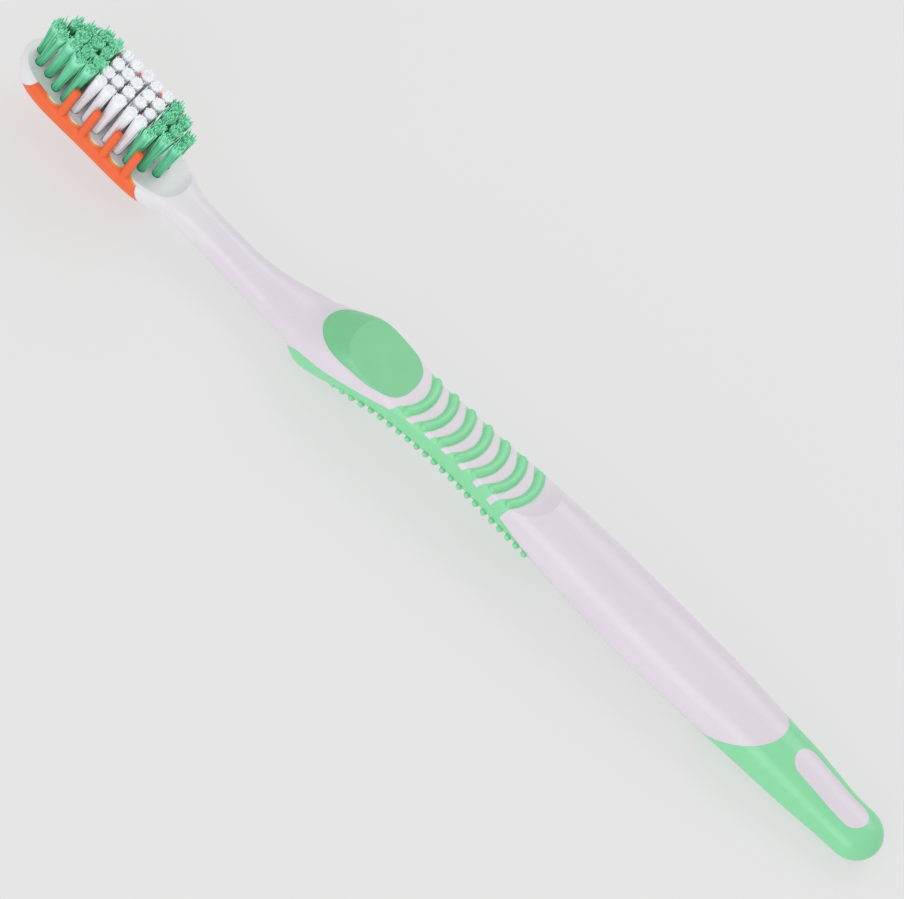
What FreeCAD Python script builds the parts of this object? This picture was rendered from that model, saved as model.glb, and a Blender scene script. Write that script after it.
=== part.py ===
import FreeCAD, Part
import math
import os
from FreeCAD import Placement, Rotation, Vector

# Manual toothbrush, lying on its back: +X runs from the toe of the head to the tail,
# +Z is the way the bristles point, and Y = 0 is the plane of symmetry.
# The origin lies under the middle of the length, on the surface that the brush rests on.

# Lengths of the zones, in order from the toe to the tail
head_length = 36.0
neck_length = 27.6
thumb_length = 21.4
rib_zone_length = 30.0
barrel_length = 51.4
tail_length = 23.6

# Widths and heights of the outer form
head_width = 12.8
head_thickness = 6.2
head_tilt_degrees = 4.2
face_height = 9.4
face_crown = 0.95
face_runout = 5.0
face_heel = 2.4
toe_reach = 9.0
toe_nose = 3.6
neck_width = 6.7
neck_crown = 8.3
neck_lift = 2.3
thumb_width = 13.0
thumb_crown = 15.0
waist_width = 10.6
waist_crown = 13.2
grip_arch = 5.7
barrel_width = 13.3
barrel_crown = 14.1
tail_width = 11.2
tail_crown = 9.9
tail_nose = 5.0
rest_flat = 0.25

# Saddle in the front of the handle: a dish behind the thumb and a flat under the ribs
saddle_height = 11.75
dish_radius = 40.0
dish_sweep_degrees = 32.0
runout_radius = 11.0
runout_sweep_degrees = 60.0
runout_setback = 7.0

# Soft mouldings on the handle
skin_thickness = 1.5
pad_length = 18.4
pad_width = 12.0
pad_setback = 2.4
grip_length = 56.3
grip_setback = 0.6
strip_height = 11.1
rib_count = 7
rib_pitch = 3.74
rib_width = 1.6
rib_band_width = 2.0
rib_rise = 0.7
rib_bow_radius = 7.0
rib_setback = 2.6
rib_span = 8.2
rib_root = 0.6
ridge_count = 23
ridge_pitch = 1.89
ridge_width = 1.0
ridge_rise = 0.75
ridge_setback = 10.3
ridge_grow_count = 5
tail_cut_run = 11.2
tail_cut_drop = 7.5
window_length = 16.0
window_width = 5.0
window_setback = 3.5

# Tufts, their holes and anchors
tuft_rows = 12
tuft_diameter = 1.5
hole_clearance = 0.05
hole_depth = 3.6
toe_margin = 3.55
heel_margin = 6.3
edge_margin = 2.75
toe_tuft_margin = 2.35
toe_tuft_length = 12.0
white_tuft_length = 11.1
heel_tuft_length = 11.5
tuft_flare = 0.22
tuft_bevel = 0.3
anchor_width = 1.9
anchor_height = 1.3
anchor_thickness = 0.25
anchor_lift = 0.6

# Soft moulding on the head and its rubber fingers
head_skin = 1.3
rail_width = 1.1
rail_top_length = 23.0
rail_back_length = 29.4
rail_setback = 5.7
rail_back_setback = 2.6
lobe_radius = 2.1
lobe_reach = 0.3
finger_count = 4
finger_root_diameter = 1.75
finger_tip_diameter = 1.5
finger_length = 6.9
finger_root_depth = 1.8
finger_lean_degrees = 1.8

overrun = 20.0

# Places along the brush, measured from the toe
neck_start = head_length
thumb_start = neck_start + neck_length
rib_start = thumb_start + thumb_length
barrel_start = rib_start + rib_zone_length
tail_start = barrel_start + barrel_length
brush_length = tail_start + tail_length
face_datum = head_length - heel_margin
row_pitch = (face_datum - toe_margin) / (tuft_rows - 1)
head_tilt = math.radians(head_tilt_degrees)

# Outer form: each row gives the place along its zone, the width, the crown and the back,
# as shares of the zone's length, width, crown height and back height
head_shares = ((0.42, 1.0), (0.58, 1.0), (0.74, 0.995), (0.822, 0.94), (0.889, 0.8), (0.958, 0.64))
neck_shares = (
    (0.04, 1.08, 1.14, 1.5),
    (0.33, 1.0, 1.03, 1.03),
    (0.48, 1.015, 0.976, 0.81),
    (0.66, 1.13, 0.964, 0.83),
    (0.83, 1.34, 1.04, 0.95),
)
thumb_shares = (
    (0.0, 0.83, 0.62, 0.4),
    (0.07, 0.87, 0.665, 0.15),
    (0.145, 0.915, 0.74, 0.0),
    (0.22, 0.945, 0.8, 0.03),
    (0.34, 0.98, 0.92, 0.17),
    (0.47, 1.0, 1.0, 0.4),
    (0.62, 0.995, 0.98, 0.605),
    (0.78, 0.95, 0.925, 0.87),
)
waist_shares = (
    (0.0, 1.07, 0.97, 1.0),
    (0.26, 1.0, 0.99, 1.02),
    (0.5, 1.0, 1.01, 0.93),
    (0.75, 1.06, 1.03, 0.8),
)
barrel_shares = (
    (0.0, 0.9, 0.99, 0.7),
    (0.14, 0.955, 0.97, 0.49),
    (0.3, 0.985, 0.93, 0.31),
    (0.47, 1.0, 0.885, 0.18),
    (0.63, 0.98, 0.84, 0.13),
    (0.8, 0.94, 0.79, 0.09),
)
tail_shares = (
    (0.0, 1.013, 1.005, 0.01),
    (0.22, 0.986, 0.935, 0.0),
    (0.5, 0.905, 0.805, 0.0),
    (0.72, 0.857, 0.727, 0.0),
)
nose_shares = (0.0, 0.3, 0.55, 0.75, 0.9, 0.975)
toe_turn_shares = (0.1, 0.22, 0.38, 0.56, 0.76, 1.0)
widest_share = 0.5
shoulder_share = 0.21
front_round_share = 0.58
front_square_share = 0.68
back_round_share = 0.62


def point(along, y, z):
    return Vector(along - brush_length / 2, y, z)


def face_level(along):
    """Height of the head's face, which rises from the heel towards the toe."""
    return face_height + (face_datum - along) * math.tan(head_tilt)


def zone_rows(start, length, width, crown, back, shares, fullness):
    """Rows of one zone: place, half width, crown, widest level, back and fullness of the front."""
    rows = []
    for along, wide, high, low in shares:
        top = high * crown
        bottom = low * back - rest_flat
        widest = bottom + widest_share * (top - bottom)
        rows.append((start + along * length, wide * width / 2, top, widest, bottom, fullness))
    return rows


def head_rows():
    """Rows of the head, from its round toe to its heel."""
    outline = []
    for turn in toe_turn_shares:
        angle = turn * math.pi / 2
        outline.append((toe_reach * (1 - math.cos(angle)), math.sin(angle)))
    outline += [(along * head_length, wide) for along, wide in head_shares]
    rows = []
    for along, wide in outline:
        face = face_level(along)
        widest = face - shoulder_share * head_thickness
        nose = max(0, (toe_nose - along) / toe_nose)
        swell = math.sqrt(1 - nose ** 2)
        top = widest + swell * (face + face_crown - widest)
        bottom = widest - swell * (head_thickness + widest - face)
        rows.append((along, wide * head_width / 2, top, widest, bottom, front_round_share))
    return rows


def handle_rows():
    """Rows from the neck to the last full section before the round tail end."""
    rows = zone_rows(neck_start, neck_length, neck_width, neck_crown, neck_lift, neck_shares,
                     front_round_share)
    rows += zone_rows(thumb_start, thumb_length, thumb_width, thumb_crown, grip_arch, thumb_shares,
                      front_square_share)
    rows += zone_rows(rib_start, rib_zone_length, waist_width, waist_crown, grip_arch, waist_shares,
                      front_square_share)
    rows += zone_rows(barrel_start, barrel_length, barrel_width, barrel_crown, grip_arch, barrel_shares,
                      front_round_share)
    rows += zone_rows(tail_start, tail_length, tail_width, tail_crown, grip_arch, tail_shares,
                      front_round_share)
    return rows


def inset_rows(rows, side_inset, front_inset, back_inset):
    """The same rows, drawn in at the sides, the front and the back."""
    return [(along, half - side_inset, top - front_inset, widest, bottom + back_inset, fullness)
            for along, half, top, widest, bottom, fullness in rows]


def nose_rows(last, inset):
    """Rows of the round tail end, an ellipse in every direction."""
    along, half, top, widest, bottom, fullness = last
    nose_start = brush_length - tail_nose
    rows = []
    for share in nose_shares:
        shrink = math.sqrt(1 - share ** 2)
        rows.append((nose_start + share * (tail_nose - inset), half * shrink, widest + (top - widest) * shrink,
                     widest, widest - (widest - bottom) * shrink, fullness))
    return rows


def outline(row):
    """Twelve points round one section: four quarter curves from side to front, side, back and side."""
    along, half, top, widest, bottom, fullness = row
    front = fullness * (top - widest)
    back = back_round_share * (widest - bottom)
    flank = back_round_share * half
    shoulder = fullness * half
    right = [(half, widest), (half, widest + front), (shoulder, top), (0, top)]
    left = [(-shoulder, top), (-half, widest + front), (-half, widest)]
    under = [(-half, widest - back), (-flank, bottom), (0, bottom), (flank, bottom), (half, widest - back)]
    return [point(along, y, z) for y, z in right + left + under]


def tracks(rows, first_tip, last_tip):
    """Smooth curves along the brush, one through each outline point of all the rows."""
    outlines = [outline(row) for row in rows]
    sides = [first_tip] + [points[0] for points in outlines] + [last_tip]
    places = [0]
    for before, after in zip(sides, sides[1:]):
        places.append(places[-1] + before.distanceToPoint(after))
    curves = []
    for column in zip(*outlines):
        curve = Part.BSplineCurve()
        curve.interpolate(Points=[first_tip] + list(column) + [last_tip], Parameters=places)
        curves.append(curve)
    return curves


def skin(curves):
    """Closed solid whose four long faces follow the curves."""
    knots = curves[0].getKnots()
    counts = curves[0].getMultiplicities()
    ring = curves + curves[:1]
    faces = []
    for first in range(0, len(curves), 3):
        poles = [curve.getPoles() for curve in ring[first:first + 4]]
        surface = Part.BSplineSurface()
        surface.buildFromPolesMultsKnots(poles, [4, 4], counts, [0, 1], knots, False, False, 3, 3)
        faces.append(surface.toShape())
    shell = Part.Shell(faces)
    shell.sewShape()
    solid = Part.Solid(shell)
    if solid.Volume < 0:
        solid.reverse()
    return solid


def across(edges):
    """Prism of a side outline in the XZ plane, carried across the whole width."""
    face = Part.Face(Part.Wire(edges))
    face.translate(Vector(0, -overrun, 0))
    return face.extrude(Vector(0, 2 * overrun, 0))


def lines(points):
    return Part.makePolygon(points).Edges


def saddle_cutter(drop):
    """Space above the saddle: an arc behind the thumb, a flat, and a smaller arc up to the barrel."""
    level = saddle_height - drop
    flat_end = barrel_start - runout_setback

    def on_arc(centre, radius, degrees):
        angle = math.radians(degrees)
        return point(centre + radius * math.sin(angle), 0, level + radius * (1 - math.cos(angle)))

    dish = [on_arc(rib_start, dish_radius, -dish_sweep_degrees * share) for share in (1, 0.5, 0)]
    runout = [on_arc(flat_end, runout_radius, runout_sweep_degrees * share) for share in (0, 0.5, 1)]
    top = level + overrun
    above = [runout[2], Vector(runout[2].x, 0, top), Vector(dish[0].x, 0, top), dish[0]]
    flat = Part.LineSegment(dish[2], runout[0]).toShape()
    return across([Part.Arc(*dish).toShape(), flat, Part.Arc(*runout).toShape()] + lines(above))


# The outer form, its saddle and the flat that it rests on
form_rows = head_rows() + handle_rows()
toe_tip = point(0, 0, form_rows[0][3])
form_rows += nose_rows(form_rows[-1], 0)
tail_tip = point(brush_length, 0, form_rows[-1][3])
form_tracks = tracks(form_rows, toe_tip, tail_tip)
below = Part.makeBox(brush_length + 2 * overrun, 2 * overrun, overrun, point(-overrun, -overrun, -overrun))
form = skin(form_tracks).cut([below, saddle_cutter(0)])


def core(side_inset, front_inset, back_inset, saddle_drop):
    """The hard core under the soft mouldings of the handle, drawn in from the outer form."""
    rows = inset_rows(handle_rows(), side_inset, front_inset, back_inset)
    first_tip = point(neck_start, 0, rows[0][3])
    rows += nose_rows(rows[-1], back_inset)
    last_tip = point(brush_length - back_inset, 0, rows[-1][3])
    return skin(tracks(rows, first_tip, last_tip)).cut(saddle_cutter(saddle_drop))


pad_core = core(0, skin_thickness, 0, skin_thickness)
grip_core = core(skin_thickness, skin_thickness, skin_thickness, rib_root)


# Head: everything on it is built flat, from its own face, and then set in place with the head's tilt
def on_head(shape):
    """Move a shape from the flat face, measured from the toe and up from the face, to the tilted head."""
    shape.translate(Vector(-face_datum, 0, 0))
    tilt = Rotation(Vector(0, 1, 0), head_tilt_degrees)
    shape.Placement = Placement(point(face_datum, 0, face_height), tilt) * shape.Placement
    return shape


def flat_point(along, height):
    return Vector(along, 0, height)


heel = face_datum + face_heel
face_arc = [Vector(heel + face_runout * math.sin(angle), 0, face_runout * (1 - math.cos(angle)))
            for angle in (0, math.pi / 4, math.pi / 2)]
over_face = [face_arc[2], flat_point(heel + face_runout, overrun), flat_point(-overrun, overrun),
             flat_point(-overrun, 0), face_arc[0]]
face_cutter = on_head(across([Part.Arc(*face_arc).toShape()] + lines(over_face)))
form = form.cut(face_cutter)

# Tufts: each row gives its places across the head as shares of the outermost place, and its length
# as a share of its colour's length
full_row_shares = (-1.0, -1 / 3, 1 / 3, 1.0)
toe_row_shares = (
    ((-0.52, 0.52), 0.89), ((-0.64, 0.0, 0.64), 0.99), ((-0.9, -0.3, 0.3, 0.9), 1.0), (full_row_shares, 1.0),
)
white_row_shares = ((full_row_shares, 1.0),) * 5
heel_row_shares = ((full_row_shares, 0.97), ((-0.7, 0.0, 0.7), 1.0), ((-0.34, 0.34), 0.9))
toe_tuft_share = 0.79
outer_place = head_width / 2 - edge_margin


def tuft_places():
    """Name, place along the head, place across it and free length of every tuft."""
    places = [("tuft_green_toe", toe_tuft_margin, 0, toe_tuft_share * toe_tuft_length)]
    groups = (
        ("tuft_green_toe", toe_row_shares, toe_tuft_length),
        ("tuft_white", white_row_shares, white_tuft_length),
        ("tuft_green_heel", heel_row_shares, heel_tuft_length),
    )
    row = 0
    for group, shares, length in groups:
        for across_shares, length_share in shares:
            for share in across_shares:
                places.append((group, toe_margin + row * row_pitch, share * outer_place, length_share * length))
            row += 1
    return places


def tuft_anchor(along, y):
    """Flat metal wedge across the bottom of a hole; its ends bite into the wall."""
    corner = Vector(along - anchor_thickness / 2, y - anchor_width / 2, anchor_lift - hole_depth)
    return on_head(Part.makeBox(anchor_thickness, anchor_width, anchor_height, corner))


def tuft_hole(along, y):
    radius = tuft_diameter / 2 + hole_clearance
    return on_head(Part.makeCylinder(radius, hole_depth + overrun, Vector(along, y, -hole_depth)))


def tuft(along, y, length):
    """Bundle of filaments, folded over its anchor and spreading a little towards its cut end."""
    root = tuft_diameter / 2
    tip = root + tuft_flare
    sides = [(root, -hole_depth), (root, 0), (tip, length - tuft_bevel), (tip - tuft_bevel, length)]
    ends = [(0, length), (0, -hole_depth)]
    corners = [Vector(out, 0, up) for out, up in ends[1:] + sides + ends]
    bundle = Part.Face(Part.makePolygon(corners)).revolve(Vector(0, 0, 0), Vector(0, 0, 1), 360)
    bundle.translate(Vector(along, y, 0))
    return on_head(bundle).cut(tuft_anchor(along, y))


# Fingers stand between the tuft rows, in every second gap
first_finger_row = 3.5
finger_gap_rows = 2


def finger_places():
    rows = [first_finger_row + finger_gap_rows * index for index in range(finger_count)]
    return [toe_margin + row * row_pitch for row in rows]


def finger(along, side):
    """Tapered rubber finger with a round tip, leaning towards the toe."""
    root = finger_root_diameter / 2
    tip = finger_tip_diameter / 2
    y = side * (head_width / 2 - root)
    straight = finger_length - tip
    bar = Part.makeCone(root, tip, finger_root_depth + straight, Vector(along, y, -finger_root_depth))
    bar = bar.fuse(Part.makeSphere(tip, Vector(along, y, straight)))
    bar.rotate(Vector(along, y, 0), Vector(0, 1, 0), -finger_lean_degrees)
    return on_head(bar)


def gum_room():
    """Room for the soft skin over the back and sides of the head, with a rail along each side of the face."""
    rail_end = rail_setback + rail_top_length
    back_end = rail_back_setback + rail_back_length
    wrap = [flat_point(rail_setback, 0), flat_point(rail_end, 0), flat_point(back_end, -head_thickness),
            flat_point(back_end, -overrun), flat_point(rail_back_setback, -overrun),
            flat_point(rail_back_setback, -head_thickness), flat_point(rail_setback, 0)]
    rows = [row for row in head_rows() if row[1] > 2 * rail_width]
    rows += zone_rows(neck_start, neck_length, neck_width, neck_crown, neck_lift, neck_shares,
                      front_round_share)
    plate_rows = inset_rows(rows, rail_width, -head_thickness, head_skin)
    plate_tip = point(rail_width, 0, plate_rows[0][3])
    plate_end = point(thumb_start, 0, plate_rows[-1][3])
    plate = skin(tracks(plate_rows, plate_tip, plate_end))
    half = head_width / 2 - rail_width
    first = finger_places()[0]
    step = finger_gap_rows * row_pitch
    lobes = []
    for index in range(finger_count + 1):
        for side in (-1, 1):
            centre = Vector(first + (index - 0.5) * step, side * (half + lobe_reach - lobe_radius),
                            -shoulder_share * head_thickness)
            lobes.append(on_head(Part.makeCylinder(lobe_radius, overrun, centre)))
    return on_head(across(lines(wrap))).cut([plate] + lobes)


# Roundness of the pad's outline towards the head and towards the tail, and how far along it is widest
pad_head_share = 0.56
pad_tail_share = 0.76
pad_widest_share = 0.46


def pad_room():
    """Room for the oval soft pad let into the front of the handle."""
    wide = pad_width / 2
    head_part = pad_widest_share * pad_length
    middle = point(thumb_start + pad_setback + head_part, 0, thumb_crown * widest_share)
    edges = []
    for reach, fullness in ((-head_part, pad_head_share), (pad_length - head_part, pad_tail_share)):
        for side in (-wide, wide):
            places = ((reach, 0), (reach, fullness * side), (fullness * reach, side), (0, side))
            quarter = Part.BezierCurve()
            quarter.setPoles([middle + Vector(x, y, 0) for x, y in places])
            edges.append(quarter.toShape())
    prism = Part.Face(Part.Wire(Part.sortEdges(edges)[0])).extrude(Vector(0, 0, overrun))
    return prism.cut(pad_core)


# Upper edge of the back grip, as shares of the grip's length and of the strip's height
grip_edge_shares = (
    (0.0, 0.41), (0.032, 0.52), (0.1, 0.61), (0.174, 0.726), (0.249, 0.847), (0.316, 0.923), (0.405, 0.986),
    (0.547, 1.0), (0.641, 0.982), (0.705, 0.932), (0.769, 0.87), (0.831, 0.775), (0.885, 0.676), (0.938, 0.56),
    (0.977, 0.42), (1.0, 0.27),
)


def grip_edge():
    """Space under the back grip's upper edge, seen from the side."""
    start = thumb_start + grip_setback
    edge = [point(start + along * grip_length, 0, high * strip_height) for along, high in grip_edge_shares]
    curve = Part.BSplineCurve()
    curve.interpolate(edge)
    low = -overrun
    under = [edge[-1], Vector(edge[-1].x, 0, low), Vector(edge[0].x, 0, low), edge[0]]
    return across([curve.toShape()] + lines(under))


def rib_places():
    return [rib_start + rib_setback + index * rib_pitch for index in range(rib_count)]


rib_half_sweep = math.asin(rib_span / 2 / rib_bow_radius)


def rib_band(along):
    """Bowed band across the front, going straight on down the sides to join a rib to the side strips."""
    sweep_degrees = math.degrees(rib_half_sweep)
    inner = rib_bow_radius - rib_band_width / 2
    outer = rib_bow_radius + rib_band_width / 2
    floor = Vector(0, 0, 0)
    up = Vector(0, 0, 1)
    bow = Part.makeCylinder(outer, overrun, floor, up, 2 * sweep_degrees)
    bow.rotate(floor, up, -sweep_degrees)
    tabs = []
    for corner, degrees in ((Vector(inner, 0, 0), sweep_degrees), (Vector(inner, -overrun, 0), -sweep_degrees)):
        tab = Part.makeBox(rib_band_width, overrun, overrun, corner)
        tab.rotate(floor, up, degrees)
        tabs.append(tab)
    band = bow.cut(Part.makeCylinder(inner, overrun, floor, up)).fuse(tabs).removeSplitter()
    band.translate(point(along - rib_bow_radius, 0, strip_height / 2))
    return band


def rib_bar(along):
    """Raised round bar along the middle of a band, with round ends."""
    radius = rib_width / 2
    sweep_degrees = math.degrees(2 * rib_half_sweep)
    bar = Part.makeTorus(rib_bow_radius, radius, Vector(0, 0, 0), Vector(0, 0, 1), -180, 180, sweep_degrees)
    bar.rotate(Vector(0, 0, 0), Vector(0, 0, 1), -sweep_degrees / 2)
    reach = rib_bow_radius * math.cos(rib_half_sweep)
    bar = bar.fuse([Part.makeSphere(radius, Vector(reach, side * rib_span / 2, 0)) for side in (-1, 1)])
    bar.translate(point(along - rib_bow_radius, 0, saddle_height + rib_rise - radius))
    return bar


# Where a cross ridge ends, as a share of the way from the middle of the flank to the middle of the back
ridge_end_share = 0.24


def cross_ridge(along, rise):
    """Round ridge laid across the back of the handle from flank to flank, with round ends."""
    plane = Part.Plane(point(along, 0, 0), Vector(1, 0, 0))
    section = [track.intersectCS(plane)[0][0] for track in form_tracks[6:] + form_tracks[:1]]
    side = section[0]
    back = section[3]
    radius = ridge_width / 2
    wider = 1 + (rise - radius) / abs(side.Y)
    deeper = 1 + (rise - radius) / (side.Z - back.Z)
    spine = [Vector(spot.X, wider * spot.Y, side.Z + deeper * (spot.Z - side.Z)) for spot in section]
    halves = []
    for poles, start, end in ((spine[:4], ridge_end_share, 1), (spine[3:], 0, 1 - ridge_end_share)):
        half = Part.BezierCurve()
        half.setPoles(poles)
        half.segment(start, end)
        halves.append(half)
    tips = [halves[0].StartPoint, halves[1].EndPoint]
    profile = Part.Wire(Part.makeCircle(radius, tips[0], halves[0].tangent(0)[0]))
    tube = Part.Wire([half.toShape() for half in halves]).makePipeShell([profile], True, True)
    return tube.fuse([Part.makeSphere(radius, tip) for tip in tips])


def grip_rooms():
    """Room for the soft skin round the back of the handle, and for the bands that cross the front."""
    return [shape.cut(grip_core) for shape in [grip_edge()] + [rib_band(along) for along in rib_places()]]


def cross_ridges():
    """Ridges along the back, the first ones lower than the rest."""
    first = thumb_start + ridge_setback
    ridges = []
    for index in range(ridge_count):
        rise = ridge_rise * min(1, (index + 2) / ridge_grow_count)
        ridges.append(cross_ridge(first + index * ridge_pitch, rise))
    return ridges


def tail_room():
    """Room for the soft moulding round the tail: a slanting front edge, and a window over the hard core."""
    top = tail_crown
    slope = tail_cut_run / tail_cut_drop
    high = top + overrun
    low = top - overrun
    head_side = [point(tail_start + slope * overrun, 0, high), point(tail_start - slope * overrun, 0, low)]
    tail_side = [point(brush_length + overrun, 0, low), point(brush_length + overrun, 0, high)]
    region = across(lines(head_side + tail_side + head_side[:1]))
    half = window_width / 2
    start = tail_start + window_setback + half
    end = tail_start + window_setback + window_length - half
    level = tail_crown * widest_share
    window = Part.makeBox(end - start, window_width, overrun, point(start, -half, level))
    window = window.fuse([Part.makeCylinder(half, overrun, point(along, 0, level)) for along in (start, end)])
    return region.cut([grip_core, window])


os.makedirs("parts", exist_ok=True)
places = tuft_places()
rooms = {"gum_massager": gum_room(), "thumb_pad": pad_room(), "tail_grip": tail_room()}
pieces = {name: form.common(room) for name, room in rooms.items()}
skins = grip_rooms()
fingers = [finger(along, side) for along in finger_places() for side in (-1, 1)]
bars = [rib_bar(along) for along in rib_places()]
anchors = [tuft_anchor(along, y) for group, along, y, length in places]
holes = [tuft_hole(along, y) for group, along, y, length in places]
body = form
for cutters in (list(rooms.values()), skins[:1], skins[1:], fingers + bars, holes, anchors):
    body = body.cut(cutters)
pieces["handle_body"] = body
pieces["gum_massager"] = pieces["gum_massager"].fuse(fingers).removeSplitter()
bands = [form.common(room) for room in skins]
pieces["back_grip"] = bands[0].fuse(bands[1:]).fuse(bars + cross_ridges()).removeSplitter()
pieces["tuft_anchors"] = Part.makeCompound(anchors)
counts = {}
for group, along, y, length in places:
    counts[group] = counts.get(group, 0) + 1
    pieces[f"{group}_{counts[group]:02d}"] = tuft(along, y, length)
for name, shape in pieces.items():
    shape.exportStep(f"parts/{name}.step")
    if not name.startswith("tuft_"):
        print(name, shape.isValid(), len(shape.Solids), round(shape.Volume, 2))
print(len(pieces), "pieces")
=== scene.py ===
import math

import bpy
import numpy as np
from mathutils import Matrix, Vector


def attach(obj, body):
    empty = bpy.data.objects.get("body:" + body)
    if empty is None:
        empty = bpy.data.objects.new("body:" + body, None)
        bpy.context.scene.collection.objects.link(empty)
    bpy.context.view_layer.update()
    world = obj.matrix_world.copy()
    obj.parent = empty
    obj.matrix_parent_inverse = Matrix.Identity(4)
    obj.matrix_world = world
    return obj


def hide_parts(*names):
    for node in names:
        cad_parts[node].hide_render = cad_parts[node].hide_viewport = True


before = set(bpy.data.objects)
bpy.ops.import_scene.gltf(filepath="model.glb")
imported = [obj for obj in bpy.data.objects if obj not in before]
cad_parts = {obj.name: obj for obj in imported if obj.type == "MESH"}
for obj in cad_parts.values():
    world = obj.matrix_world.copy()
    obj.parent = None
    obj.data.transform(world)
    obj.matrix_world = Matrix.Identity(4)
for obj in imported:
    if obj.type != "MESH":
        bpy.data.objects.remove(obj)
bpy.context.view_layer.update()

# Handle: one polypropylene moulding from the head's toe to the tail, made in a mould with a satin
# finish. It carries the tufts in blind holes, and the soft mouldings lie in recesses in it.
# The thin head lets light through and looks a cleaner white than the lilac stem and barrel.
mm = 0.001
white_until, lilac_from = -66 * mm, -48 * mm
cloud_width, cloud_length = 5 * mm, 20 * mm
mould_grain, grain_depth = 0.4 * mm, 0.02 * mm
light_reach = 0.8 * mm


def linear(code):
    """An sRGB hex colour as the linear values that a shader takes, by the sRGB curve."""
    parts = np.array([int(code[i:i + 2], 16) for i in (1, 3, 5)]) / 255
    bent = np.where(parts <= 0.04045, parts / 12.92, ((parts + 0.055) / 1.055) ** 2.4)
    return (*bent.tolist(), 1.0)


def add(material, kind, inputs, **settings):
    """Adds a node, sets its properties, and gives inputs a value or another node's output. Inputs go by name,
    or by number where names repeat: a colour Mix takes its factor at 0 and its colours at 6 and 7, and gives
    its result at 2."""
    made = material.node_tree.nodes.new(kind)
    for name, value in settings.items():
        setattr(made, name, value)
    for name, value in inputs.items():
        if isinstance(value, bpy.types.NodeSocket):
            material.node_tree.links.new(value, made.inputs[name])
        else:
            made.inputs[name].default_value = value
    return made


def new_material(name):
    """A material with no nodes yet."""
    made = bpy.data.materials.new(name)
    made.use_nodes = True
    made.node_tree.nodes.clear()
    return made


def dress(node, material):
    """Gives a CAD node this one material."""
    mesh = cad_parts[node].data
    mesh.materials.clear()
    mesh.materials.append(material)


# Polypropylene from a fine spark-eroded mould: a soft sheen with no hard mirror, and a faint
# cloudiness where the melt flowed. The 0.1 mm grain is drawn at 0.4 mm so that it shows.
lilac_polypropylene = new_material("lilac_polypropylene_satin_moulded")
place = add(lilac_polypropylene, "ShaderNodeTexCoord", {})
flow = add(lilac_polypropylene, "ShaderNodeMapping", {
    "Vector": place.outputs["Object"], "Scale": (cloud_width / cloud_length, 1, 1)})
cloud = add(lilac_polypropylene, "ShaderNodeTexNoise", {
    "Vector": flow.outputs["Vector"], "Scale": 1 / cloud_width, "Detail": 2.0})
lilac = add(lilac_polypropylene, "ShaderNodeMix", {
    0: cloud.outputs["Fac"], 6: linear("#DFD8E0"), 7: linear("#D9D0DA")}, data_type="RGBA")
lengthwise = add(lilac_polypropylene, "ShaderNodeSeparateXYZ", {"Vector": place.outputs["Object"]})
stem = add(lilac_polypropylene, "ShaderNodeMapRange", {
    "Value": lengthwise.outputs["X"], "From Min": white_until, "From Max": lilac_from},
    interpolation_type="SMOOTHSTEP")
colour = add(lilac_polypropylene, "ShaderNodeMix", {
    0: stem.outputs["Result"], 6: linear("#E3E2E5"), 7: lilac.outputs[2]}, data_type="RGBA")
grain = add(lilac_polypropylene, "ShaderNodeTexNoise", {
    "Vector": place.outputs["Object"], "Scale": 1 / mould_grain, "Detail": 1.0})
sheen = add(lilac_polypropylene, "ShaderNodeMapRange", {
    "Value": grain.outputs["Fac"], "To Min": 0.27, "To Max": 0.36})
relief = add(lilac_polypropylene, "ShaderNodeBump", {
    "Height": grain.outputs["Fac"], "Strength": 0.12, "Distance": grain_depth})
shader = add(lilac_polypropylene, "ShaderNodeBsdfPrincipled", {
    "Base Color": colour.outputs[2], "Roughness": sheen.outputs["Result"],
    "Normal": relief.outputs["Normal"], "IOR": 1.49, "Subsurface Weight": 0.12,
    "Subsurface Radius": (1.0, 0.95, 1.0), "Subsurface Scale": light_reach})
add(lilac_polypropylene, "ShaderNodeOutputMaterial", {"Surface": shader.outputs["BSDF"]})
dress("handle_body", lilac_polypropylene)

# Gum massager: soft orange moulding over the back and sides of the head, with a row of fingers on
# each side. It is a thermoplastic elastomer, moulded on to the head in a second shot. Its edge on
# the head's face has five scallops a side, between and beside the fingers.
head_lean, face_height = math.radians(4.2), 4.4 * mm
scallops, scallop_pitch, scallop_radius = 5, 4.755 * mm, 2.1 * mm
scallops_middle, scallops_aside = -76.51 * mm, 3.5 * mm
orange_cloud, elastomer_grain, elastomer_light_reach = 2.5 * mm, 0.35 * mm, 0.7 * mm
# The yellow tint starts and is full this far outside a scallop, and is gone and full this far off the face.
tint_start, tint_full = 0.4 * mm, 0.05 * mm
face_far, face_near = 0.8 * mm, 0.45 * mm

# Elastomer from a matt mould: a broad dull sheen, and a warm glow where the fingers are thin. Its
# fine grain is drawn at 0.35 mm so that it shows.
orange_elastomer = new_material("orange_thermoplastic_elastomer_moulded")
place = add(orange_elastomer, "ShaderNodeTexCoord", {})
cloud = add(orange_elastomer, "ShaderNodeTexNoise", {
    "Vector": place.outputs["Object"], "Scale": 1 / orange_cloud, "Detail": 2.0})
orange = add(orange_elastomer, "ShaderNodeMix", {
    0: cloud.outputs["Fac"], 6: linear("#F06C34"), 7: linear("#EA5F27")}, data_type="RGBA")
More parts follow.
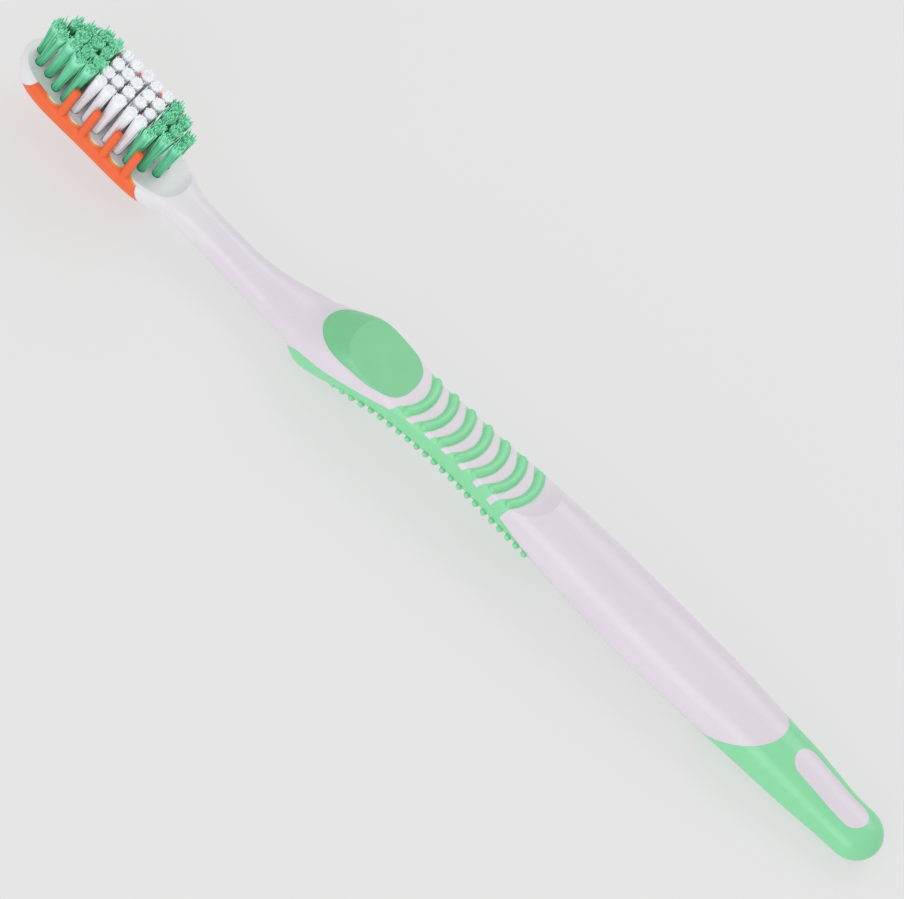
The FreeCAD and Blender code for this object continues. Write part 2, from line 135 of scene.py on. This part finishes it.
# A yellower tint is drawn along the skin's edge round the scallops. The place is taken along and
# above the head's face, which leans towards the handle, and repeats at the scallops' pitch.
levelled = add(orange_elastomer, "ShaderNodeVectorRotate", {
    "Vector": place.outputs["Object"], "Angle": -head_lean}, rotation_type="Y_AXIS")
spot = add(orange_elastomer, "ShaderNodeSeparateXYZ", {"Vector": levelled.outputs["Vector"]})
from_middle = add(orange_elastomer, "ShaderNodeMath", {
    0: spot.outputs["X"], 1: scallops_middle}, operation="SUBTRACT")
along_scallop = add(orange_elastomer, "ShaderNodeMath", {
    0: from_middle.outputs["Value"], 1: scallop_pitch / 2, 2: -scallop_pitch / 2}, operation="WRAP")
aside = add(orange_elastomer, "ShaderNodeMath", {0: spot.outputs["Y"]}, operation="ABSOLUTE")
across_scallop = add(orange_elastomer, "ShaderNodeMath", {
    0: aside.outputs["Value"], 1: scallops_aside}, operation="SUBTRACT")
arm = add(orange_elastomer, "ShaderNodeCombineXYZ", {
    "X": along_scallop.outputs["Value"], "Y": across_scallop.outputs["Value"]})
arm_length = add(orange_elastomer, "ShaderNodeVectorMath", {0: arm.outputs["Vector"]}, operation="LENGTH")
edge = add(orange_elastomer, "ShaderNodeMapRange", {
    "Value": arm_length.outputs["Value"], "From Min": scallop_radius + tint_start,
    "From Max": scallop_radius + tint_full})
above_face = add(orange_elastomer, "ShaderNodeMath", {
    0: spot.outputs["Z"], 1: face_height}, operation="SUBTRACT")
off_face = add(orange_elastomer, "ShaderNodeMath", {0: above_face.outputs["Value"]}, operation="ABSOLUTE")
on_face = add(orange_elastomer, "ShaderNodeMapRange", {
    "Value": off_face.outputs["Value"], "From Min": face_far, "From Max": face_near})
from_row = add(orange_elastomer, "ShaderNodeMath", {
    0: from_middle.outputs["Value"]}, operation="ABSOLUTE")
in_row = add(orange_elastomer, "ShaderNodeMath", {
    0: from_row.outputs["Value"], 1: scallops * scallop_pitch / 2}, operation="LESS_THAN")
edge_on_face = add(orange_elastomer, "ShaderNodeMath", {
    0: edge.outputs["Result"], 1: on_face.outputs["Result"]}, operation="MULTIPLY")
yellow_edge_tint = add(orange_elastomer, "ShaderNodeMath", {
    0: edge_on_face.outputs["Value"], 1: in_row.outputs["Value"]}, operation="MULTIPLY")
colour = add(orange_elastomer, "ShaderNodeMix", {
    0: yellow_edge_tint.outputs["Value"], 6: orange.outputs[2], 7: linear("#F2A02E")}, data_type="RGBA")
grain = add(orange_elastomer, "ShaderNodeTexNoise", {
    "Vector": place.outputs["Object"], "Scale": 1 / elastomer_grain, "Detail": 1.0})
sheen = add(orange_elastomer, "ShaderNodeMapRange", {
    "Value": grain.outputs["Fac"], "To Min": 0.44, "To Max": 0.58})
relief = add(orange_elastomer, "ShaderNodeBump", {
    "Height": grain.outputs["Fac"], "Strength": 0.15, "Distance": grain_depth})
shader = add(orange_elastomer, "ShaderNodeBsdfPrincipled", {
    "Base Color": colour.outputs[2], "Roughness": sheen.outputs["Result"],
    "Normal": relief.outputs["Normal"], "IOR": 1.5, "Subsurface Weight": 0.2,
    "Subsurface Radius": (1.0, 0.45, 0.2), "Subsurface Scale": elastomer_light_reach})
add(orange_elastomer, "ShaderNodeOutputMaterial", {"Surface": shader.outputs["BSDF"]})
dress("gum_massager", orange_elastomer)

# Grips: pale green elastomer on the handle's back with its ribs and cross ridges, and round the
# tail. Both come from the same second shot as the thumb pad and bond to the polypropylene.
green_cloud = 4 * mm


def green_elastomer(name, pale, deep, smooth, rough):
    """Green elastomer, whose colour wanders between two tones in soft clouds, and whose gloss, between
    two roughnesses, and relief follow the mould's fine grain."""
    made = new_material(name)
    place = add(made, "ShaderNodeTexCoord", {})
    cloud = add(made, "ShaderNodeTexNoise", {
        "Vector": place.outputs["Object"], "Scale": 1 / green_cloud, "Detail": 2.0})
    colour = add(made, "ShaderNodeMix", {
        0: cloud.outputs["Fac"], 6: linear(pale), 7: linear(deep)}, data_type="RGBA")
    grain = add(made, "ShaderNodeTexNoise", {
        "Vector": place.outputs["Object"], "Scale": 1 / elastomer_grain, "Detail": 1.0})
    sheen = add(made, "ShaderNodeMapRange", {
        "Value": grain.outputs["Fac"], "To Min": smooth, "To Max": rough})
    relief = add(made, "ShaderNodeBump", {
        "Height": grain.outputs["Fac"], "Strength": 0.15, "Distance": grain_depth})
    shader = add(made, "ShaderNodeBsdfPrincipled", {
        "Base Color": colour.outputs[2], "Roughness": sheen.outputs["Result"],
        "Normal": relief.outputs["Normal"], "IOR": 1.5, "Subsurface Weight": 0.18,
        "Subsurface Radius": (0.5, 1.0, 0.6), "Subsurface Scale": elastomer_light_reach})
    add(made, "ShaderNodeOutputMaterial", {"Surface": shader.outputs["BSDF"]})
    return made


# A thin skin of elastomer over the pale handle, from a smooth mould: a soft gloss, and a paler green
# than the thumb pad, whose darker green is painted shade.
thin_green = green_elastomer("green_thermoplastic_elastomer_thin_skin", "#8CDBA7", "#84D5A0", 0.26, 0.35)
dress("back_grip", thin_green)
dress("tail_grip", thin_green)

# Thumb pad: the thick dished pad on the handle's front, of the same green elastomer and moulded in
# the same shot. Nothing pale lies close under it, and its darker green is painted shade.
pad_green_painted_shade = green_elastomer("green_thermoplastic_elastomer_thick_pad_painted_shade", "#7CCA96", "#74C48E", 0.27, 0.36)
dress("thumb_pad", pad_green_painted_shade)

# Anchors: small flat pieces cut from brass strip, one driven into each hole across the tuft's fold.
# They are deep in the holes, so they show only when the brush is taken apart.
rolling_line_width, rolling_line_length = 0.08 * mm, 0.8 * mm

# Rolled brass: a bright metal whose gloss is drawn out into fine lines by the rolls.
brass_strip = new_material("brass_cut_strip")
place = add(brass_strip, "ShaderNodeTexCoord", {})
rolled = add(brass_strip, "ShaderNodeMapping", {
    "Vector": place.outputs["Object"], "Scale": (1, rolling_line_width / rolling_line_length, 1)})
lines = add(brass_strip, "ShaderNodeTexNoise", {
    "Vector": rolled.outputs["Vector"], "Scale": 1 / rolling_line_width, "Detail": 2.0})
sheen = add(brass_strip, "ShaderNodeMapRange", {
    "Value": lines.outputs["Fac"], "To Min": 0.25, "To Max": 0.45})
shader = add(brass_strip, "ShaderNodeBsdfPrincipled", {
    "Base Color": linear("#D9B45B"), "Metallic": 1.0, "Roughness": sheen.outputs["Result"]})
add(brass_strip, "ShaderNodeOutputMaterial", {"Surface": shader.outputs["BSDF"]})
dress("tuft_anchors", brass_strip)

# Bristle tufts: bundles of nylon filaments, folded in half and held in their holes by the anchors.
# The ends are trimmed and rounded, and spread a little with handling. Green at the toe and heel,
# natural white between.
tuft_width, hole_depth = 1.5 * mm, 3.6 * mm
filaments_per_tuft, filament_width, filament_sides = 60, 0.2 * mm, 5
bundle_radius = (tuft_width - filament_width) / 2
golden_angle = math.pi * (3 - math.sqrt(5))
# Along a filament: two rings on its free length, as shares of it, and two where its end is rounded,
# as shares of its width below the tip. Its width at all seven rings is given as shares too.
free_ring_shares, end_ring_shares = (0.35, 0.7), (0.6, 0.2)
filament_width_shares = np.array([1, 1, 1, 1, 1, 0.8, 0.35])
# How filaments differ: a share of them strays further, a tuft sways as a whole and opens more or less,
# the bend grows with a power of the height, and most tips stand near the full height.
stray_share, loose_share, loose_factor = 0.2, 0.2, 2.2
tuft_sway, least_open, most_open = 0.16 * mm, 0.8, 1.25
bend_power, tip_power = 1.3, 1.6
# The heart: a tube that fills most of the bundle, from just inside the hole, and of one even shade.
heart_sides, heart_fill_share, heart_sunk, heart_shade = 14, 0.94, 0.5 * mm, 0.4
heart_rise_shares = np.array([0, 0.25, 0.5, 0.75, 0.985, 1.0])
heart_width_shares = np.array([1, 1, 1, 1, 1, 0.94])
# Shares of the height where the painted root shade ends and the painted tip light starts.
root_shade_share, tip_light_share = 0.5, 0.82
up_tuft = np.array([math.sin(head_lean), 0, math.cos(head_lean)])
along_head = np.array([math.cos(head_lean), 0, -math.sin(head_lean)])
across_head = np.array([0.0, 1.0, 0.0])


def tuft_axes(names):
    """Four arrays with a row for each tuft node: its axis's place along and across the head, half way
    between its mesh's ends there, and its foot and its top, the mesh's ends up the tuft."""
    found = []
    for name in names:
        corners = np.empty(3 * len(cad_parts[name].data.vertices), np.float32)
        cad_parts[name].data.vertices.foreach_get("co", corners)
        span = corners.reshape(-1, 3) @ np.stack([along_head, across_head, up_tuft], 1)
        low, high = span.min(0), span.max(0)
        found.append([(low[0] + high[0]) / 2, (low[1] + high[1]) / 2, low[2], high[2]])
    return np.array(found).T[:, :, None]


def tubes(x, y, z, radius, sides):
    """Closed round tubes, one for each row of the arrays, whose columns are its rings: the rings' middles
    along the head, across it and up the tuft, and their radii. A corner is its ring's middle and the radius
    turned round it. Gives all corners in the brush's frame, the walls between rings, and the end caps."""
    count, levels = x.shape
    around = np.arange(sides) * 2 * math.pi / sides
    ring_x = x[..., None] + radius[..., None] * np.cos(around)
    ring_y = y[..., None] + radius[..., None] * np.sin(around)
    ring_z = z[..., None] + 0 * ring_x
    corners = ring_x[..., None] * along_head + ring_y[..., None] * across_head + ring_z[..., None] * up_tuft
    here = np.arange(levels - 1)[:, None] * sides + np.arange(sides)
    beside = np.arange(levels - 1)[:, None] * sides + (np.arange(sides) + 1) % sides
    walls = np.stack([here, beside, beside + sides, here + sides], 2).reshape(-1, 4)
    first = np.arange(count)[:, None, None] * levels * sides
    caps = np.stack([np.arange(sides)[::-1], (levels - 1) * sides + np.arange(sides)])
    return corners.reshape(-1, 3), (first + walls).reshape(-1, 4), (first + caps).reshape(-1, sides)


def bristle_tufts(piece_name, names, material, splay, ragged, seed):
    """One mesh of all filaments of these tufts. A filament's foot lies on a sunflower spiral in its hole,
    and it rises straight to the hole's mouth and then leans out by a power of its height, to an end that is
    moved by chance. The filaments packed in a tuft's heart, which nobody can tell apart, are one tube that
    ends lower. Each corner keeps its height, 0 at the mouth and 1 at the tip, and its filament's shade."""
    chance = np.random.default_rng(seed)
    x, y, foot, top = tuft_axes(names)
    tuft_count, count = len(names), filaments_per_tuft
    order = np.arange(count)[None, :]
    turn = order * golden_angle + chance.uniform(0, 2 * math.pi, (tuft_count, 1))
    out = bundle_radius * np.sqrt((order + 0.5) / count)
    foot_x, foot_y = out * np.cos(turn), out * np.sin(turn)
    loose = chance.random((2, tuft_count, count)) < loose_share
    stray = np.where(loose, loose_factor, 1.0) * stray_share * ragged
    stray = stray * chance.standard_normal((2, tuft_count, count))
    sway = tuft_sway * chance.standard_normal((2, tuft_count, 1))
    open_out = splay * chance.uniform(least_open, most_open, (tuft_count, 1))
    lean_x = foot_x * open_out + stray[0] + sway[0]
    lean_y = foot_y * open_out + stray[1] + sway[1]

    mouth = foot + hole_depth
    tip = top - ragged * chance.random((tuft_count, count)) ** tip_power
    free = tip - mouth
    z = np.stack([foot + 0 * tip, mouth + 0 * tip, *(mouth + share * free for share in free_ring_shares),
                  *(tip - share * filament_width for share in end_ring_shares), tip], 2)
    rise = np.clip((z - mouth[..., None]) / free[..., None], 0, 1)
    bend = rise ** bend_power
    filament_x = (x + foot_x)[..., None] + lean_x[..., None] * bend
    filament_y = (y + foot_y)[..., None] + lean_y[..., None] * bend
    filament_radius = filament_width / 2 * filament_width_shares + 0 * z
    rings = len(filament_width_shares)
    filaments = (part.reshape(-1, rings) for part in (filament_x, filament_y, z, filament_radius))
    hair, hair_walls, hair_caps = tubes(*filaments, filament_sides)

    heart_bend = heart_rise_shares ** bend_power
    heart_z = mouth - heart_sunk + (top - ragged - mouth + heart_sunk) * heart_rise_shares
    heart_radius = heart_fill_share * bundle_radius * (1 + open_out * heart_bend) * heart_width_shares
    heart, heart_walls, heart_caps = tubes(x + sway[0] * heart_bend, y + sway[1] * heart_bend, heart_z,
                                           heart_radius, heart_sides)

    faces = (hair_walls, hair_caps, heart_walls + len(hair), heart_caps + len(hair))
    mesh = bpy.data.meshes.new(piece_name)
    mesh.from_pydata(np.concatenate([hair, heart]).tolist(), [], sum((part.tolist() for part in faces), []))
    smooth = [np.full(len(part), is_wall) for part, is_wall in zip(faces, (True, False, True, False))]
    mesh.polygons.foreach_set("use_smooth", np.concatenate(smooth))
    height = np.concatenate([np.repeat(rise.ravel(), filament_sides),
                             np.repeat(np.tile(heart_rise_shares, tuft_count), heart_sides)])
    shade = np.concatenate([np.repeat(chance.random(tuft_count * count), rings * filament_sides),
                            np.full(len(heart), heart_shade)])
    for name, values in (("height", height), ("shade", shade)):
        mesh.attributes.new(name, "FLOAT", "POINT").data.foreach_set("value", values.astype(np.float32))
    mesh.materials.append(material)
    piece = bpy.data.objects.new(piece_name, mesh)
    bpy.context.scene.collection.objects.link(piece)
    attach(piece, "root")
    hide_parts(*names)


def bristle_material(name, root, middle, end, uneven):
    """Drawn nylon: a smooth thread with a narrow glint. Its colour runs from the root's tone to the middle's
    and, near the tip, to the end's: painted shade at the root and painted light near the tip. Each
    filament is a little lighter or darker than the next."""
    made = new_material(name)
    height = add(made, "ShaderNodeAttribute", {}, attribute_name="height")
    shade = add(made, "ShaderNodeAttribute", {}, attribute_name="shade")
    # The colour is painted darker towards the root, for shade, and paler near the tip, for light.
    low = add(made, "ShaderNodeMapRange", {"Value": height.outputs["Fac"], "From Max": root_shade_share})
    high = add(made, "ShaderNodeMapRange", {"Value": height.outputs["Fac"], "From Min": tip_light_share})
    lower = add(made, "ShaderNodeMix", {
        0: low.outputs["Result"], 6: linear(root), 7: linear(middle)}, data_type="RGBA")
    whole = add(made, "ShaderNodeMix", {
        0: high.outputs["Result"], 6: lower.outputs[2], 7: linear(end)}, data_type="RGBA")
    vary = add(made, "ShaderNodeMapRange", {
        "Value": shade.outputs["Fac"], "To Min": 1 - uneven, "To Max": 1 + uneven / 2})
    colour = add(made, "ShaderNodeHueSaturation", {
        "Color": whole.outputs[2], "Value": vary.outputs["Result"]})
    shader = add(made, "ShaderNodeBsdfPrincipled", {
        "Base Color": colour.outputs["Color"], "Roughness": 0.36, "IOR": 1.53})
    add(made, "ShaderNodeOutputMaterial", {"Surface": shader.outputs["BSDF"]})
    return made


# Painted shade darkens dyed nylon towards the root, where less light gets in between the filaments,
# and painted light makes it paler near the tip. Natural nylon is a cool white with a little of both.
green_nylon = bristle_material("green_nylon_drawn_filament", "#46BA86", "#62D2A0", "#A2F8D4", 0.24)
white_nylon = bristle_material("white_nylon_drawn_filament", "#EBECF3", "#EDEFF6", "#FAFCFF", 0.06)
tufts = sorted(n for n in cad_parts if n.startswith("tuft_") and n != "tuft_anchors")
bristle_tufts("bristles_green_toe", [n for n in tufts if "green_toe" in n], green_nylon,
              splay=0.85, ragged=1.0 * mm, seed=11)
bristle_tufts("bristles_white", [n for n in tufts if "white" in n], white_nylon,
              splay=0.72, ragged=0.24 * mm, seed=12)
bristle_tufts("bristles_green_heel", [n for n in tufts if "green_heel" in n], green_nylon,
              splay=0.75, ragged=0.9 * mm, seed=13)

# Studio: a plain pale floor under the brush, even sky light, and two long soft boxes, one low in
# front of the brush and one behind, which give the two pale bands along its rounded sides.
reach, drop = 3.0, 0.02 * mm
own_light_share, sky_level = 0.72, 0.715
card_grey = linear("#E6E6E6")
floor_mesh = bpy.data.meshes.new("floor")
floor_corners = [(x * reach, y * reach, -drop) for x, y in ((-1, -1), (1, -1), (1, 1), (-1, 1))]
floor_mesh.from_pydata(floor_corners, [], [(0, 1, 2, 3)])
floor = bpy.data.objects.new("floor", floor_mesh)
bpy.context.scene.collection.objects.link(floor)
# Matte card that shows its own colour more than the light on it, so that the brush's shadow and the
# tint that it throws stay faint. From below it can be seen through.
card = new_material("pale_grey_matte_card")
card.cycles.emission_sampling = "NONE"
lit = add(card, "ShaderNodeBsdfDiffuse", {"Color": card_grey})
plain = add(card, "ShaderNodeEmission", {"Color": card_grey})
upper_side = add(card, "ShaderNodeMixShader", {
    0: own_light_share, 1: lit.outputs["BSDF"], 2: plain.outputs["Emission"]})
clear = add(card, "ShaderNodeBsdfTransparent", {})
side = add(card, "ShaderNodeNewGeometry", {})
both_sides = add(card, "ShaderNodeMixShader", {
    0: side.outputs["Backfacing"], 1: upper_side.outputs["Shader"], 2: clear.outputs["BSDF"]})
add(card, "ShaderNodeOutputMaterial", {"Surface": both_sides.outputs["Shader"]})
floor_mesh.materials.append(card)

sky = bpy.data.worlds.new("sky")
sky.use_nodes = True
sky.node_tree.nodes["Background"].inputs["Color"].default_value = (1, 1, 1, 1)
sky.node_tree.nodes["Background"].inputs["Strength"].default_value = sky_level
bpy.context.scene.world = sky


def towards(azimuth, elevation):
    """The direction from the brush to this azimuth, from -Y towards +X, and elevation, in degrees: the
    cosine of the elevation is shared out over X and Y by the azimuth, and its sine is Z."""
    a, e = math.radians(azimuth), math.radians(elevation)
    return Vector((math.sin(a) * math.cos(e), -math.cos(a) * math.cos(e), math.sin(e)))


def soft_box(name, azimuth, elevation, distance, width, height, brightness):
    """A lamp as wide and high as given, which looks at the brush's middle. It is of even brightness, where 1
    is a white card in full light, so its power is brightness times pi times its area."""
    lamp = bpy.data.lights.new(name, "AREA")
    lamp.shape = "RECTANGLE"
    lamp.size, lamp.size_y = width, height
    lamp.energy = brightness * math.pi * width * height
    holder = bpy.data.objects.new(name, lamp)
    holder.location = towards(azimuth, elevation) * distance
    holder.rotation_mode = "QUATERNION"
    holder.rotation_quaternion = towards(azimuth, elevation).to_track_quat("Z", "Y")
    holder.visible_camera = False
    bpy.context.scene.collection.objects.link(holder)


soft_box("front_soft_box", azimuth=0, elevation=19, distance=1.6, width=1.6, height=1.0, brightness=2.0)
soft_box("back_soft_box", azimuth=180, elevation=46, distance=1.6, width=1.6, height=0.9, brightness=1.65)

# Camera: a long lens above the near side, turned so that the brush runs from the upper left to the
# lower right. The picture is 904 by 899 pixels, at 6.178 pixels to the millimetre.
picture_width, scale, distance = 904, 6.178 / mm, 5.0
azimuth, elevation, roll = 9.2, 54, math.radians(34.95)
aim, aim_right, aim_up = Vector((0, 0, 6 * mm)), 0.27 * mm, 0.1 * mm
back = towards(azimuth, elevation)
level = Vector((math.cos(math.radians(azimuth)), math.sin(math.radians(azimuth)), 0))
upright = back.cross(level)
right = level * math.cos(roll) + upright * math.sin(roll)
up = upright * math.cos(roll) - level * math.sin(roll)
lens = bpy.data.cameras.new("camera")
lens.sensor_width = 36
lens.lens = scale * distance * lens.sensor_width / picture_width
lens.clip_start, lens.clip_end = 0.1, 100
camera = bpy.data.objects.new("camera", lens)
stand = Matrix((right, up, back)).transposed().to_4x4()
stand.translation = aim + right * aim_right + up * aim_up + back * distance
camera.matrix_world = stand
bpy.context.scene.collection.objects.link(camera)
bpy.context.scene.camera = camera
bpy.context.scene.view_settings.view_transform = "Standard"
